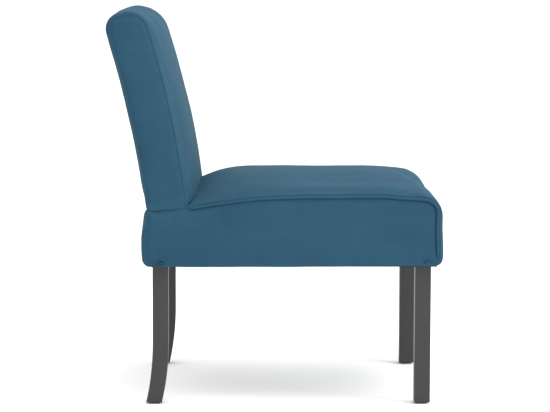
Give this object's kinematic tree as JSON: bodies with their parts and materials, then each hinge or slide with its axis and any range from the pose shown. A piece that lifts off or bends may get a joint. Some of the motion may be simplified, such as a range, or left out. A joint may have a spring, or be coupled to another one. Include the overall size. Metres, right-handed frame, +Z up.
{
  "type": "slipper chair",
  "caption": "Armless upholstered slipper chair with a box seat, a leaning back and four dark square wooden legs.",
  "frame": {"origin": "on the floor, under the middle of the chair's footprint", "axes": "+Z up; the chair faces -Y; +X to the left hand of someone sitting in it"},
  "size_m": [0.52, 0.6604, 0.7725],
  "materials": {
    "velvet": "short cut-pile velvet, deep teal blue",
    "leg_wood": "black stained beech, satin lacquer",
    "glide_plastic": "hard nylon, matt",
    "dust_cloth": "thin black non-woven cloth",
    "frame_wood": "planed beech, bare",
    "plywood": "birch plywood, bare",
    "hardboard": "brown hardboard, smooth face out",
    "foam": "open-cell upholstery foam",
    "wadding": "bonded polyester wadding",
    "felt": "needled grey insulator felt",
    "webbing": "woven elastic webbing",
    "spring_steel": "bare tempered wire",
    "zinc_steel": "zinc plated"
  },
  "bodies": {
    "root": {"back_bottom_rail": "frame_wood", "back_cover_front": "velvet", "back_cover_left": "velvet", "back_cover_rear": "velvet", "back_cover_right": "velvet", "back_foam": "foam", "back_left_batten": "frame_wood", "back_left_stile": "frame_wood", "back_middle_rail": "frame_wood", "back_panel": "hardboard", "back_panel_nails": "zinc_steel", "back_right_batten": "frame_wood", "back_right_stile": "frame_wood", "back_strap_1": "webbing", "back_strap_2": "webbing", "back_strap_3": "webbing", "back_strap_4": "webbing", "back_top_rail": "frame_wood", "back_wadding": "wadding", "batten_screws": "zinc_steel", "bolt_washers": "zinc_steel", "clip_nails": "zinc_steel", "deck_screws": "zinc_steel", "dust_cover": "dust_cloth", "frame_bolts": "zinc_steel", "frame_dowels": "frame_wood", "front_left_glide": "glide_plastic", "front_left_leg": "leg_wood", "front_right_glide": "glide_plastic", "front_right_leg": "leg_wood", "glide_nails": "zinc_steel", "insulator_felt": "felt", "rear_deck_board": "plywood", "rear_left_glide": "glide_plastic", "rear_left_leg": "leg_wood", "rear_right_glide": "glide_plastic", "rear_right_leg": "leg_wood", "seat_cover_left": "velvet", "seat_cover_rear": "velvet", "seat_cover_right": "velvet", "seat_cover_top": "velvet", "seat_cross_rail": "frame_wood", "seat_foam": "foam", "seat_front_rail": "frame_wood", "seat_left_rail": "frame_wood", "seat_piping_left": "velvet", "seat_piping_right": "velvet", "seat_rear_rail": "frame_wood", "seat_right_rail": "frame_wood", "seat_spring_1": "spring_steel", "seat_spring_2": "spring_steel", "seat_spring_3": "spring_steel", "seat_spring_4": "spring_steel", "seat_spring_5": "spring_steel", "seat_wadding": "wadding", "spring_clips": "zinc_steel", "strap_staples": "zinc_steel", "tee_nuts": "zinc_steel", "underside_staples": "zinc_steel"}
  },
  "joints": []
}
